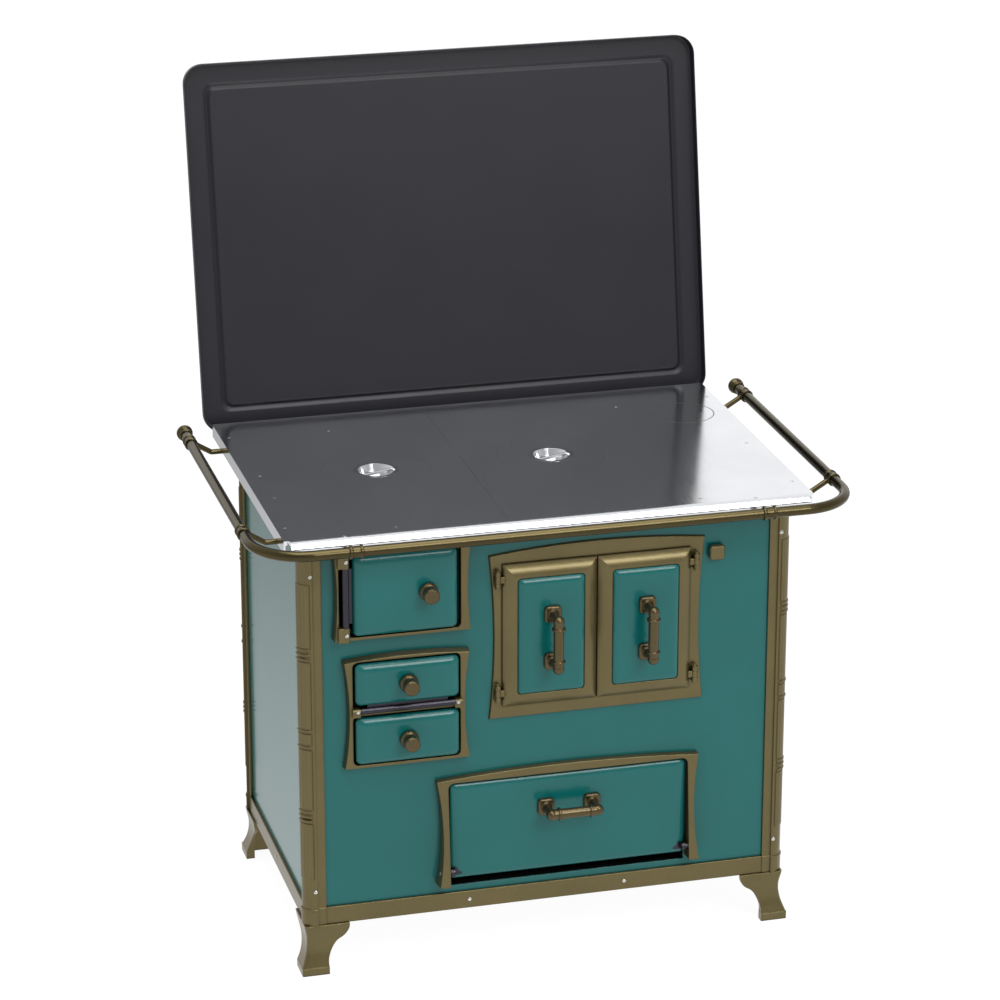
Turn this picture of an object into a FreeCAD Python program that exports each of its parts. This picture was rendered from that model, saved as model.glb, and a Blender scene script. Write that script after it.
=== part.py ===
import FreeCAD, Part
import math
import os

os.makedirs("parts", exist_ok=True)

V = FreeCAD.Vector
X, Y, Z = V(1, 0, 0), V(0, 1, 0), V(0, 0, 1)

# Driving dimensions, millimetres.  Until the end of the file the front panel's
# face is y = 0, x = 0 is the middle of the stove and z = 0 is the floor.
TOP_Z = 850.0            # worktop height
PANEL_HALF = 414.0       # half the visible width of the front panel
BODY_DEPTH = 531.0       # front panel face to back panel face
FOOT_H = 95.0            # floor to the bottom of the body
SHEET = 2.0              # body sheet
RUN = 0.05               # radial clearance of a pin or rod that turns or slides
GAP = 0.5                # clearance between a moving piece and its neighbour

# Corner columns, base rails and feet
BEAD_R = 25.0
BEAD_T = 6.0
BEAD_PROUD = 9.0
FLANGE_PROUD = 5.0
COL_FLANGE = 16.0
RAIL_H = 33.5
STRIP_PROUD = 1.2        # raised strips and the base band of a column's bead
STRIP_ARC = (15.0, 86.0) # degrees round the bead, from the front to the side
FLUTE_R = 1.2
RING_TUBE = 3.3
RING_SINK = 0.5
RING_PITCH = 9.0
FOOT_PAD = 50.0
FOOT_OUT = 7.0
FOOT_WALL = 9.0
FOOT_ROUND = 7.0
FOOT_PAD_H = 0.15        # pad height as a share of the foot's height
FOOT_FLARE = ((0.15, 6.5), (0.25, 3.0), (0.38, -1.2), (0.53, -4.0), (0.68, -4.8), (0.84, -2.8), (1.0, -0.3))
FOOT_OGEE = ((43.5, 0.31), (47.0, 0.42), (52.5, 0.535), (62.0, 0.655), (71.0, 0.714), (77.5, 0.785),
             (83.0, 0.93))
OUT_X = PANEL_HALF + COL_FLANGE + BEAD_R
BEAD_CX = OUT_X - BEAD_R
BEAD_CY = BEAD_R - BEAD_PROUD
SIDE_X = OUT_X - BEAD_PROUD

# Cooktop
TOP_HALF = OUT_X + 28.7
TOP_FRONT = -49.7
TOP_BACK = BODY_DEPTH + 87.7
PLATE_T = 8.0
FLANGE_H = 24.0
FLANGE_T = 3.0
NOSE_R = 20.0            # depth of the rolled front edge
NOSE_DROP = 12.0
NOTCH = 10.0
HOB_PITCH = 331.0
HOB_X = (239.7 - TOP_HALF, 239.7 - TOP_HALF + HOB_PITCH)
HOB_Y = TOP_FRONT + 339.7
RING_R = 100.0
PLUG_R = 41.0
FLUE_COVER = (TOP_HALF - 89.7, TOP_BACK - 165.7)
FLUE_COVER_R = 57.5
LEDGE = 5.0
RING_T = 5.0
RING_GAP = 0.3
# Cooktop screws: side, distance in from that side, distance from the front edge,
# or from the back edge where negative.
TOP_SCREWS = ((-1, 15.7, -84.7), (-1, 202.7, -93.7), (-1, 28.7, 361.7), (-1, 29.7, 240.7),
              (-1, 16.7, 85.7), (-1, 204.7, 40.7), (-1, 107.7, 19.7), (1, 202.7, -98.7),
              (1, 15.7, -84.7), (1, 28.7, 306.7), (1, 16.7, 85.7), (1, 107.7, 19.7), (1, 204.7, 40.7))

# Lid
LID_OVER = 13.0          # how far the lid reaches past the cooktop all round
LID_LIFT = 4.0           # closed lid's inner face above the cooktop
LID_T = 2.0
LID_RIM = 20.0
LID_R = 37.0
LID_LEAN = 10.15         # open lid leans back by this many degrees
LID_LINE_IN = 37.0       # pressed groove: distance in from the rim, width and depth
LID_LINE_W = 13.0
LID_LINE_H = 3.6
LID_LINE_SLOPE = 5.5
LID_PIVOT_BACK = 7.3     # lid pivot behind the cooktop
LID_PIVOT_DOWN = 15.3    # lid pivot below the cooktop's surface
HINGE_X = TOP_HALF - 87.7
HINGE_LEAF = 12.0
HINGE_R = 5.0
PIN_R = 2.5

# Handrail
RAIL_X = TOP_HALF + 59.3
RAIL_FRONT = TOP_FRONT - 61.3
RAIL_R = 9.5
RAIL_BEND = 95.0
RAIL_END = BODY_DEPTH + 35.0
ARM_R = 5.0
ARM_Z = TOP_Z - 22.0
ARM_KNEE = TOP_HALF + 20.3
ARM_SIDE_Y = (BEAD_CY + COL_FLANGE + 1.0, BODY_DEPTH - 4.0)
ARM_FRONT_X = PANEL_HALF - 40.0
COLLAR_R = 12.5
COLLAR_L = 25.0

# The fire side is placed from the panel's left edge, the oven and the wood box from
# both edges.  Upper heights are measured down from the worktop, lower ones up from
# the bottom of the body.
LEFT, RIGHT = -PANEL_HALF, PANEL_HALF


def span(x0, x1):
    return dict(cx=(x0 + x1) / 2, hw=(x1 - x0) / 2)


# Door surrounds: centre x, half width, concave side depth, bottom, top, arch, depth
DRAFT = 2.0
FIRE_SUR = dict(span(LEFT + 18.5, LEFT + 268.5), waist=5.0, z0=TOP_Z - 203, z1=TOP_Z - 34, arch=3.0,
                depth=21.0)
SMALL_SUR = dict(span(LEFT + 35.0, LEFT + 267.0), waist=9.0, z0=TOP_Z - 451, z1=TOP_Z - 244, arch=6.0,
                 depth=17.0)
OVEN_SUR = dict(span(LEFT + 303.5, RIGHT - 122.5), waist=9.0, z0=TOP_Z - 387, z1=TOP_Z - 73, arch=12.0,
                depth=6.0)
WOOD_SUR = dict(span(LEFT + 204.5, RIGHT - 129.5), waist=9.0, z0=FOOT_H + 55, z1=FOOT_H + 260, arch=10.0,
                depth=32.0)
WOOD_TOP_DEPTH = 13.0

# Firebox door
FIRE_OPEN = (LEFT + 28.0, LEFT + 249.0, TOP_Z - 196, TOP_Z - 38)
FIRE_DOOR = (LEFT + 52.0, LEFT + 241.0, TOP_Z - 192, TOP_Z - 42)
FIRE_ROD = (LEFT + 39.0, -27.0)
FIRE_KNOB = (LEFT + 186.0, TOP_Z - 116)
ROD_R = 6.0
ROD_END_GAP = 23.0
PILLOW_T = 12.0
PILLOW_W = 18.0          # how far in from its edge a pillow face keeps rising
PILLOW_EDGE = 1.0        # straight edge behind the rolled part
CORNER_R = 10.0
KNOB_R = 17.0
KNOB_GRIP_R = 14.5
KNOB_BASE = 14.0
KNOB_L = 33.0
KNOB_SIDES = 12

# Air flap and ash drawer
SMALL_X = (LEFT + 55.5, LEFT + 244.5)
FLAP_Z = (TOP_Z - 327, TOP_Z - 248)
ASH_Z = (TOP_Z - 440, TOP_Z - 351)
SMALL_ROD = (-22.0, TOP_Z - 337)
SMALL_ROD_X = (LEFT + 65.0, LEFT + 236.0)
CROSS_Z = (TOP_Z - 348.5, TOP_Z - 343.5)
SMALL_GAP = 4.0
ASH_LEN = 420.0

# Oven doors
OVEN_DOOR_Z = (OVEN_SUR["z0"] + 25, OVEN_SUR["z1"] - 17)
OVEN_SPLIT = OVEN_SUR["cx"] - 2.1
OVEN_DOOR_W = OVEN_SUR["hw"] - 26.0
OVEN_JOIN = 0.8
OVEN_BORDER = 25.0
OVEN_EDGE = 3.0
OVEN_RISE = 11.0
OVEN_STAND = 2.0
OVEN_PILLOW_OUT = 6.0
OVEN_PILLOW_W = 14.0
OVEN_AXIS_OUT = 9.5
OVEN_AXIS_Y = -14.0
OVEN_HINGE_IN = 27.0
KNUCKLE_R = 5.5
KNUCKLE_H = 12.0
LUG_H = 9.0
HANDLE_SPAN = 90.0
WOOD_HANDLE_SPAN = 87.0
HANDLE_OUT = 42.0
GRIP_R = 10.0
POST_R = 8.5
ROSE = 31.0
ROSE_T = 8.0
OVEN_DEPTH = 400.0
OVEN_BOX_GAP = 8.0

# Wood box
WOOD_HALF = WOOD_SUR["hw"] - 21.0
WOOD_PANEL_HALF = WOOD_HALF - 3.0
WOOD_CORNER = 11.0
WOOD_PANEL_Z = (FOOT_H + 63.5, FOOT_H + 251.5)
WOOD_SILL = FOOT_H + 46.5
WOOD_PANEL_Y = (-12.0, -2.0)
WOOD_PANEL_W = 15.0
WOOD_AXIS = (-16.0, FOOT_H + 79.5)
WOOD_HANDLE_Z = FOOT_H + 190.0
WOOD_DEPTH = 420.0
WOOD_FLOOR = FOOT_H + 39.0

# Damper and flue
DAMPER = (RIGHT - 102.0, TOP_Z - 105)
DAMPER_SQ = 27.0
DAMPER_ROD_R = 4.0
FLUE = (RIGHT - 79.0, TOP_Z - 150)
FLUE_R = 60.0
FLUE_L = 45.0
BLADE_T = 3.0

# Firebox
BOX_X = (LEFT + 14.0, LEFT + 272.0)
BOX_LEN = 470.0
BOX_Z = (TOP_Z - 457, TOP_Z - 38)
BRICK = 22.0
GRATE_Z = TOP_Z - 238
GRATE_T = 9.0

SCREW_R = 3.6
SCREW_H = 1.8
SHANK_R = 2.0
SHANK_L = 9.0

# Derived positions
BODY_TOP = TOP_Z - PLATE_T
LID_PIVOT = V(0, TOP_BACK + LID_PIVOT_BACK, TOP_Z - LID_PIVOT_DOWN)
OVEN_FACE = -OVEN_SUR["depth"]


def box(x0, x1, y0, y1, z0, z1):
    return Part.makeBox(x1 - x0, y1 - y0, z1 - z0, V(x0, y0, z0))


def rod(r, p, q):
    d = q.sub(p)
    return Part.makeCylinder(r, d.Length, p, d)


def union(shapes):
    out = shapes[0]
    if len(shapes) > 1:
        out = out.fuse(shapes[1:]).removeSplitter()
    return out


def mirror_x(shape):
    return shape.mirror(V(0, 0, 0), X)


def mirror_y(shape):
    return shape.mirror(V(0, BODY_DEPTH / 2, 0), Y)


def rounded_plate(x0, x1, z0, z1, y_back, y_front, r):
    """Plate in the XZ plane with rounded corners, from y_back forward to y_front."""
    b = box(x0, x1, y_front, y_back, z0, z1)
    edges = [e for e in b.Edges if abs(e.tangentAt(e.FirstParameter).y) > 0.9]
    return b.makeFillet(r, edges)


def front_edges(shape, y):
    return [e for e in shape.Edges
            if abs(e.BoundBox.YMin - y) < 1e-4 and abs(e.BoundBox.YMax - y) < 1e-4]


def rounded_wire(u0, u1, v0, v1, r, place):
    """Closed rounded rectangle; place turns (u, v) into a point in space."""
    if r <= 0:
        pts = [place(u, v) for u, v in ((u0, v0), (u1, v0), (u1, v1), (u0, v1), (u0, v0))]
        return Part.makePolygon(pts)
    edges = []
    corners = ((u1 - r, v0 + r, -90), (u1 - r, v1 - r, 0), (u0 + r, v1 - r, 90), (u0 + r, v0 + r, 180))
    last = None
    for cu, cv, a in corners:
        arc = []
        for da in (0, 45, 90):
            t = math.radians(a + da)
            arc.append(place(cu + r * math.cos(t), cv + r * math.sin(t)))
        if last is None:
            first = arc[0]
        else:
            edges.append(Part.makeLine(last, arc[0]))
        edges.append(Part.Arc(*arc).toShape())
        last = arc[2]
    edges.append(Part.makeLine(last, first))
    return Part.Wire(edges)


def rolled(x0, x1, z0, z1, y_edge, y_front, wide, corner, domed=False):
    """Front of a plate, rising from its edge in a quarter ellipse, or domed more gently."""
    wires = []
    for deg in (0, 15, 32, 50, 70, 90):
        t = math.radians(deg)
        i = wide * (1 - math.cos(t))
        rise = math.sin(t)
        if domed:
            i = wide * deg / 90
            rise = 1 - (1 - deg / 90) ** 2
        y = y_edge + (y_front - y_edge) * rise
        r = max(corner - i * 0.3, 3.0) if corner > 0 else 0
        wires.append(rounded_wire(x0 + i, x1 - i, z0 + i, z1 - i, r, lambda u, v, y=y: V(u, y, v)))
    return Part.makeLoft(wires, True, False)


def pillow(x0, x1, z0, z1, y_back, y_edge, y_front, wide=PILLOW_W, corner=CORNER_R):
    plate = rounded_plate(x0, x1, z0, z1, y_back, y_edge, corner)
    return plate.fuse(rolled(x0, x1, z0, z1, y_edge, y_front, wide, corner)).removeSplitter()


def outline(cx, hw, waist, z0, z1, arch, y):
    """Closed wire with a straight foot, concave sides and an arched head."""
    zm = (z0 + z1) / 2
    a, b = V(cx - hw, y, z0), V(cx + hw, y, z0)
    c, d = V(cx + hw, y, z1), V(cx - hw, y, z1)
    right = Part.Arc(b, V(cx + hw - waist, y, zm), c).toShape()
    head = Part.Arc(c, V(cx, y, z1 + arch), d).toShape()
    left = Part.Arc(d, V(cx - hw + waist, y, zm), a).toShape()
    return Part.Wire([Part.makeLine(a, b), right, head, left])


def surround(cx, hw, waist, z0, z1, arch, depth):
    back = outline(cx, hw, waist, z0, z1, arch, 0)
    face = outline(cx, hw - DRAFT, waist, z0 + DRAFT, z1 - DRAFT, arch, -depth)
    return Part.makeLoft([back, face], True, True)


def turned(profile, base, direction):
    """Solid of revolution: profile is a list of (radius, distance along direction)."""
    pts = [V(r, 0, d) for r, d in profile]
    pts = [V(0, 0, profile[0][1])] + pts + [V(0, 0, profile[-1][1])]
    solid = Part.Face(Part.makePolygon(pts + pts[:1])).revolve(V(0, 0, 0), Z, 360)
    solid.Placement = FreeCAD.Placement(base, FreeCAD.Rotation(Z, direction))
    return solid


def knob(x, y, z):
    """Round base with a faceted grip, standing out of the face at y."""
    s = KNOB_R / 17.0
    d = KNOB_BASE
    prof = [(14.0 * s, 0), (15.5 * s, 1.5), (17.0 * s, d * 0.3), (17.0 * s, d * 0.6), (15.0 * s, d * 0.82),
            (11.5 * s, d), (11.5 * s, d + 2)]
    base = turned(prof, V(x, y, z), -Y)
    pts = []
    for i in range(KNOB_SIDES + 1):
        t = 2 * math.pi * i / KNOB_SIDES
        pts.append(V(x + KNOB_GRIP_R * math.cos(t), y - d - 1.0, z + KNOB_GRIP_R * math.sin(t)))
    grip = Part.Face(Part.makePolygon(pts)).extrude(V(0, d + 1.0 - KNOB_L, 0))
    grip = grip.makeChamfer(2.2, front_edges(grip, y - KNOB_L))
    return base.fuse(grip).removeSplitter()


def screw(p, d, slotted=True):
    """Pan-head screw: p is on the clamped face, d points out of it."""
    prof = [(SCREW_R, 0), (SCREW_R, SCREW_H * 0.45), (SCREW_R * 0.7, SCREW_H * 0.85),
            (SCREW_R * 0.3, SCREW_H)]
    head = turned(prof, p, d)
    shank = rod(SHANK_R, p, p.sub(V(d).multiply(SHANK_L)))
    whole = head.fuse(shank)
    if not slotted:
        return whole
    slot = Part.makeBox(SCREW_R * 3, 1.0, SCREW_H, V(-SCREW_R * 1.5, -0.5, SCREW_H * 0.5))
    slot.Placement = FreeCAD.Placement(p, FreeCAD.Rotation(Z, d))
    return whole.cut(slot)


def sweep(points, r, bend):
    """Round bar through the points with rounded corners."""
    edges = []
    start = points[0]
    for i in range(1, len(points) - 1):
        p, a, b = points[i], points[i - 1], points[i + 1]
        u = a.sub(p).normalize()
        w = b.sub(p).normalize()
        half = math.acos(max(-1, min(1, u.dot(w)))) / 2
        t = bend / math.tan(half)
        p1, p2 = p.add(V(u).multiply(t)), p.add(V(w).multiply(t))
        axis = u.add(w).normalize()
        mid = p.add(V(axis).multiply(bend / math.sin(half) - bend))
        edges.append(Part.makeLine(start, p1))
        edges.append(Part.Arc(p1, mid, p2).toShape())
        start = p2
    edges.append(Part.makeLine(start, points[-1]))
    path = Part.Wire(edges)
    d = points[1].sub(points[0])
    ring = Part.Wire([Part.makeCircle(r, points[0], d)])
    return path.makePipeShell([ring], True, True)


node = {}

# Screws of the columns, rails and cooktop; the plain ones bore the held pieces.
places = []
mid_z = FOOT_H + RAIL_H / 2
for sx in (-1, 1):
    for z in (TOP_Z - 79, FOOT_H + 68):
        places.append((V(sx * (BEAD_CX + 4), -BEAD_PROUD + 0.4, z), -Y))
        places.append((V(sx * (BEAD_CX + 4), BODY_DEPTH + BEAD_PROUD - 0.4, z), Y))
    places.append((V(sx * (SIDE_X + FLANGE_PROUD), BODY_DEPTH / 2, mid_z), V(sx, 0, 0)))
    places.append((V(sx * 147, -FLANGE_PROUD, mid_z), -Y))
    places.append((V(sx * 147, BODY_DEPTH + FLANGE_PROUD, mid_z), Y))
screws = [screw(p, d) for p, d in places]
bores = [screw(p, d, False) for p, d in places]
top_screws, top_bores = [], []
for sx, inset, along in TOP_SCREWS:
    x = sx * (TOP_HALF - inset)
    y = TOP_FRONT + along if along > 0 else TOP_BACK + along
    head = Part.makeCone(SHANK_R, SCREW_R, 2.4, V(x, y, TOP_Z - 2.4))
    head = head.fuse(rod(SHANK_R, V(x, y, TOP_Z - 2.4), V(x, y, BODY_TOP + 0.5)))
    top_bores.append(head)
    slot = box(x - 1.5, x + 1.5, y - 0.5, y + 0.5, TOP_Z - 1, TOP_Z + 1)
    top_screws.append(head.cut(slot))


def bored(shape, tools):
    near = [t for t in tools if t.BoundBox.intersect(shape.BoundBox)]
    for t in near:
        shape = shape.cut(t)
    return shape


# Corner columns: a quarter-round bead between two flat flanges, with rings and
# finely fluted raised strips.
def bead_sector(r_in, r_out, z0, z1, a0, a1):
    """Part of the bead between two angles, both measured from the front."""
    c = Part.makeCylinder(r_out, z1 - z0, V(0, 0, 0), Z, a1 - a0)
    c = c.cut(Part.makeCylinder(r_in, z1 - z0, V(0, 0, 0), Z, 360))
    c.rotate(V(0, 0, 0), Z, a0 - 90)
    c.translate(V(BEAD_CX, BEAD_CY, z0))
    return c


def column():
    h0, h1 = FOOT_H, BODY_TOP
    a0, a1 = STRIP_ARC
    band = h0 + RAIL_H
    front = box(PANEL_HALF, BEAD_CX, -FLANGE_PROUD, 0, h0, h1)
    side = box(SIDE_X, SIDE_X + FLANGE_PROUD, BEAD_CY, BEAD_CY + COL_FLANGE, h0, h1)
    collar = bead_sector(BEAD_R - 1, BEAD_R + STRIP_PROUD, h0, band, 0, 90)
    collar = collar.fuse(bead_sector(BEAD_R - 1, BEAD_R + STRIP_PROUD * 1.8, band - 4, band - 1, 0, 90))
    plinth = box(PANEL_HALF, BEAD_CX, -FLANGE_PROUD - STRIP_PROUD, -FLANGE_PROUD + 1, h0, band)
    parts = [bead_sector(BEAD_R - BEAD_T, BEAD_R, h0, h1, 0, 90), front, side, collar, plinth]
    groups = ((FOOT_H + 216, 3), (TOP_Z - 404, 1), (TOP_Z - 373, 1), (TOP_Z - 227, 3))
    ends = [FOOT_H + 93]
    for z, n in groups:
        half = (n - 1) / 2 * RING_PITCH
        for i in range(n):
            t = Part.makeTorus(BEAD_R - RING_SINK, RING_TUBE, V(0, 0, 0), Z, 0, 360, a1 - a0)
            t.rotate(V(0, 0, 0), Z, a0 - 90)
            t.translate(V(BEAD_CX, BEAD_CY, z - half + i * RING_PITCH))
            parts.append(t)
        ends += [z - half - RING_TUBE - 1.5, z + half + RING_TUBE + 1.5]
    ends.append(TOP_Z - 94)
    strips = [(ends[i], ends[i + 1]) for i in range(0, len(ends), 2)]
    for z0, z1 in strips:
        parts.append(bead_sector(BEAD_R - 1, BEAD_R + STRIP_PROUD, z0, z1, a0, a1))
    body = union(parts)
    for z0, z1 in strips:
        for a in (a0 + 12, a0 + 26, a0 + 40, a0 + 58):
            ang = math.radians(a - 90)
            r = BEAD_R + STRIP_PROUD + FLUTE_R * 0.55
            p = V(BEAD_CX + r * math.cos(ang), BEAD_CY + r * math.sin(ang), z0 + 3)
            body = body.cut(rod(FLUTE_R, p, p.add(V(0, 0, z1 - z0 - 6))))
        ang = math.radians(a0 - 91.5)
        p = V(BEAD_CX + (BEAD_R + 0.4) * math.cos(ang), BEAD_CY + (BEAD_R + 0.4) * math.sin(ang), z0)
        body = body.cut(rod(FLUTE_R, p, p.add(V(0, 0, z1 - z0))))
    return body


col = column()
col = bored(col, bores)
node["column_front_right"] = col
node["column_front_left"] = bored(mirror_x(column()), bores)
node["column_rear_right"] = bored(mirror_y(column()), bores)
node["column_rear_left"] = bored(mirror_x(mirror_y(column())), bores)

# Body sheets.  The front panel has one cut-out behind each surround.
front = box(-BEAD_CX, BEAD_CX, 0, SHEET, FOOT_H, BODY_TOP)
fx0, fx1, fz0, fz1 = FIRE_OPEN
front = front.cut(box(fx0 + 1, fx1 - 1, -1, SHEET + 1, fz0 + 1, fz1 - 1))
sm_x0, sm_x1 = SMALL_X[0] - SMALL_GAP, SMALL_X[1] + SMALL_GAP
front = front.cut(box(sm_x0, sm_x1, -1, SHEET + 1, ASH_Z[0] - SMALL_GAP, CROSS_Z[0]))
front = front.cut(box(sm_x0, sm_x1, -1, SHEET + 1, CROSS_Z[1], FLAP_Z[1] + 2.5))
ov_x0 = OVEN_SPLIT - OVEN_DOOR_W + OVEN_BORDER
ov_x1 = OVEN_SPLIT + OVEN_DOOR_W - OVEN_BORDER
ov_z0 = OVEN_DOOR_Z[0] + OVEN_BORDER
ov_z1 = OVEN_DOOR_Z[1] - OVEN_BORDER
front = front.cut(box(ov_x0, ov_x1, -1, SHEET + 1, ov_z0, ov_z1))
wcx = WOOD_SUR["cx"]
front = front.cut(box(wcx - WOOD_HALF + 2, wcx + WOOD_HALF - 2, -1, SHEET + 1,
                      WOOD_SILL, WOOD_PANEL_Z[1] + 3))
front = front.cut(rod(DAMPER_ROD_R + RUN, V(DAMPER[0], -1, DAMPER[1]), V(DAMPER[0], 3, DAMPER[1])))
node["front_panel"] = bored(front, bores)

side = box(SIDE_X - SHEET, SIDE_X, BEAD_CY, BODY_DEPTH - BEAD_CY, FOOT_H, BODY_TOP)
node["side_panel_right"] = bored(side, bores)
node["side_panel_left"] = bored(mirror_x(side), bores)
back = box(-BEAD_CX, BEAD_CX, BODY_DEPTH - SHEET, BODY_DEPTH, FOOT_H, BODY_TOP)
back = back.cut(rod(FLUE_R, V(FLUE[0], BODY_DEPTH - 5, FLUE[1]), V(FLUE[0], BODY_DEPTH + 5, FLUE[1])))
for k in range(5):
    vz = 190.0 + k * 26
    back = back.cut(box(-120, 120, BODY_DEPTH - 5, BODY_DEPTH + 5, vz, vz + 8))
node["back_panel"] = bored(back, bores)
bottom = box(-BEAD_CX + 2, BEAD_CX - 2, SHEET, BODY_DEPTH - SHEET, FOOT_H + 4, FOOT_H + 4 + SHEET)
wide = box(-SIDE_X + SHEET, SIDE_X - SHEET, BEAD_CY + 2, BODY_DEPTH - BEAD_CY - 2, FOOT_H + 4,
           FOOT_H + 4 + SHEET)
node["bottom_panel"] = union([bottom, wide])

# Base rails.
z0, z1 = FOOT_H, FOOT_H + RAIL_H
rail = box(-PANEL_HALF, PANEL_HALF, -FLANGE_PROUD, 0, z0, z1)
node["base_rail_front"] = bored(rail, bores)
node["base_rail_back"] = bored(mirror_y(rail), bores)
sy0, sy1 = BEAD_CY + COL_FLANGE, BODY_DEPTH - BEAD_CY - COL_FLANGE
srail = box(SIDE_X, SIDE_X + FLANGE_PROUD, sy0, sy1, z0, z1)
srail = bored(srail, bores)
node["base_rails_side"] = Part.makeCompound([srail, bored(mirror_x(srail), bores)])


# Feet: hollow cast corners whose two walls flare out to the floor and carry a
# curved wing under the body.
def spline(points):
    c = Part.BSplineCurve()
    c.interpolate(points)
    return c.toShape()


def wing_prism(place, push):
    """Everything outward of one wall's curved inner end; place turns (inset, z) into a point."""
    pad = FOOT_PAD - FOOT_OUT
    tip, tip_z = FOOT_OGEE[-1][0], FOOT_OGEE[-1][1] * FOOT_H
    curve = [place(pad, FOOT_PAD_H * FOOT_H)] + [place(i, k * FOOT_H) for i, k in FOOT_OGEE]
    edges = [spline(curve)]
    corners = [place(tip, tip_z), place(tip, FOOT_H + 1), place(-60, FOOT_H + 1), place(-60, 0),
               place(pad, 0), place(pad, FOOT_PAD_H * FOOT_H)]
    for p, q in zip(corners, corners[1:]):
        edges.append(Part.makeLine(p, q))
    return Part.Face(Part.Wire(edges)).extrude(push)


def foot():
    reach = 200.0
    y_out = -BEAD_PROUD

    def corner(d, z, r):
        x, y = OUT_X + d, y_out - d
        k = r * (1 - math.sqrt(0.5))
        far = V(OUT_X - reach, y, z)
        return Part.Wire([Part.makeLine(far, V(x - r, y, z)),
                          Part.Arc(V(x - r, y, z), V(x - k, y + k, z), V(x, y + r, z)).toShape(),
                          Part.makeLine(V(x, y + r, z), V(x, y_out + reach, z)),
                          Part.makeLine(V(x, y_out + reach, z), V(OUT_X - reach, y_out + reach, z)),
                          Part.makeLine(V(OUT_X - reach, y_out + reach, z), far)])

    flare = Part.makeLoft([corner(d, k * FOOT_H, FOOT_ROUND) for k, d in FOOT_FLARE], True, False)
    pad = Part.Face(corner(FOOT_OUT, 0, 3.0)).extrude(V(0, 0, FOOT_PAD_H * FOOT_H))
    solid = flare.fuse(pad).removeSplitter()
    solid = solid.common(wing_prism(lambda i, z: V(OUT_X - i, -60, z), V(0, 400, 0)))
    solid = solid.common(wing_prism(lambda i, z: V(OUT_X - reach - 1, y_out + i, z), V(400, 0, 0)))
    hollow = box(OUT_X - reach - 1, OUT_X - FOOT_WALL, y_out + FOOT_WALL, reach, -1, FOOT_H + 1)
    solid = solid.cut(hollow)
    seat = box(OUT_X - 58, OUT_X - 4, y_out + 4, y_out + 58, FOOT_H - 4, FOOT_H)
    return solid.fuse(seat).removeSplitter()


f = foot()
node["foot_front_right"] = f
node["foot_front_left"] = mirror_x(f)
node["foot_rear_right"] = mirror_y(f)
node["foot_rear_left"] = mirror_x(mirror_y(f))

# Cooktop: plate with a rolled front edge, side and back flanges and open corners.
flange_z = TOP_Z - FLANGE_H
x_nose = TOP_HALF - NOTCH
arc = [(TOP_FRONT, TOP_Z - NOSE_DROP)]
for deg in (18, 36, 54, 72, 90):
    t = math.radians(deg)
    arc.append((TOP_FRONT + NOSE_R * (1 - math.cos(t)), TOP_Z - NOSE_DROP * (1 - math.sin(t))))
nose = Part.BSplineCurve()
nose.interpolate([V(-x_nose, y, z) for y, z in arc])
corners = [V(-x_nose, TOP_FRONT + NOSE_R, TOP_Z), V(-x_nose, TOP_FRONT + 40, TOP_Z),
           V(-x_nose, TOP_FRONT + 40, flange_z), V(-x_nose, TOP_FRONT, flange_z),
           V(-x_nose, TOP_FRONT, TOP_Z - NOSE_DROP)]
edges = [nose.toShape()] + [Part.makeLine(p, q) for p, q in zip(corners, corners[1:])]
plate = Part.Face(Part.Wire(edges)).extrude(V(2 * x_nose, 0, 0))
under = box(-TOP_HALF, TOP_HALF, TOP_FRONT + FLANGE_T, TOP_FRONT + 41, flange_z - 1, BODY_TOP)
plate = plate.cut(under)
deck = box(-TOP_HALF, TOP_HALF, TOP_FRONT + NOSE_R, TOP_BACK, BODY_TOP, TOP_Z)
sides = [box(s * TOP_HALF - (FLANGE_T if s > 0 else 0), s * TOP_HALF + (0 if s > 0 else FLANGE_T),
             TOP_FRONT + NOSE_R, TOP_BACK, flange_z, TOP_Z) for s in (-1, 1)]
rear = box(-TOP_HALF, TOP_HALF, TOP_BACK - FLANGE_T, TOP_BACK, flange_z, TOP_Z)
top = union([plate, deck, rear] + sides)
for hx in HOB_X:
    top = top.cut(rod(RING_R + RING_GAP, V(hx, HOB_Y, TOP_Z - RING_T - 0.3), V(hx, HOB_Y, TOP_Z + 1)))
    top = top.cut(rod(RING_R - LEDGE, V(hx, HOB_Y, BODY_TOP - 1), V(hx, HOB_Y, TOP_Z)))
cx, cy = FLUE_COVER
top = top.cut(rod(FLUE_COVER_R + RING_GAP, V(cx, cy, TOP_Z - RING_T - 0.3), V(cx, cy, TOP_Z + 1)))
top = top.cut(rod(FLUE_COVER_R - LEDGE, V(cx, cy, BODY_TOP - 1), V(cx, cy, TOP_Z)))
joint_x = (HOB_X[0] + HOB_X[1]) / 2
top = top.cut(box(joint_x - 0.4, joint_x + 0.4, TOP_FRONT + 30, TOP_BACK - 30, TOP_Z - 1, TOP_Z + 1))
for s in top_bores:
    top = top.cut(s)
slot_r = ARM_R + GAP
for s in (-1, 1):
    for y in ARM_SIDE_Y:
        xa, xb = sorted((s * (TOP_HALF - 6), s * (TOP_HALF + 1)))
        top = top.cut(rod(slot_r, V(xa, y, ARM_Z), V(xb, y, ARM_Z)))
        top = top.cut(box(xa, xb, y - slot_r, y + slot_r, flange_z - 1, ARM_Z))
    xc = s * ARM_FRONT_X
    top = top.cut(rod(slot_r, V(xc, TOP_FRONT - 1, ARM_Z), V(xc, TOP_FRONT + 6, ARM_Z)))
    top = top.cut(box(xc - slot_r, xc + slot_r, TOP_FRONT - 1, TOP_FRONT + 6, flange_z - 1, ARM_Z))
node["cooktop"] = top

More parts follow.
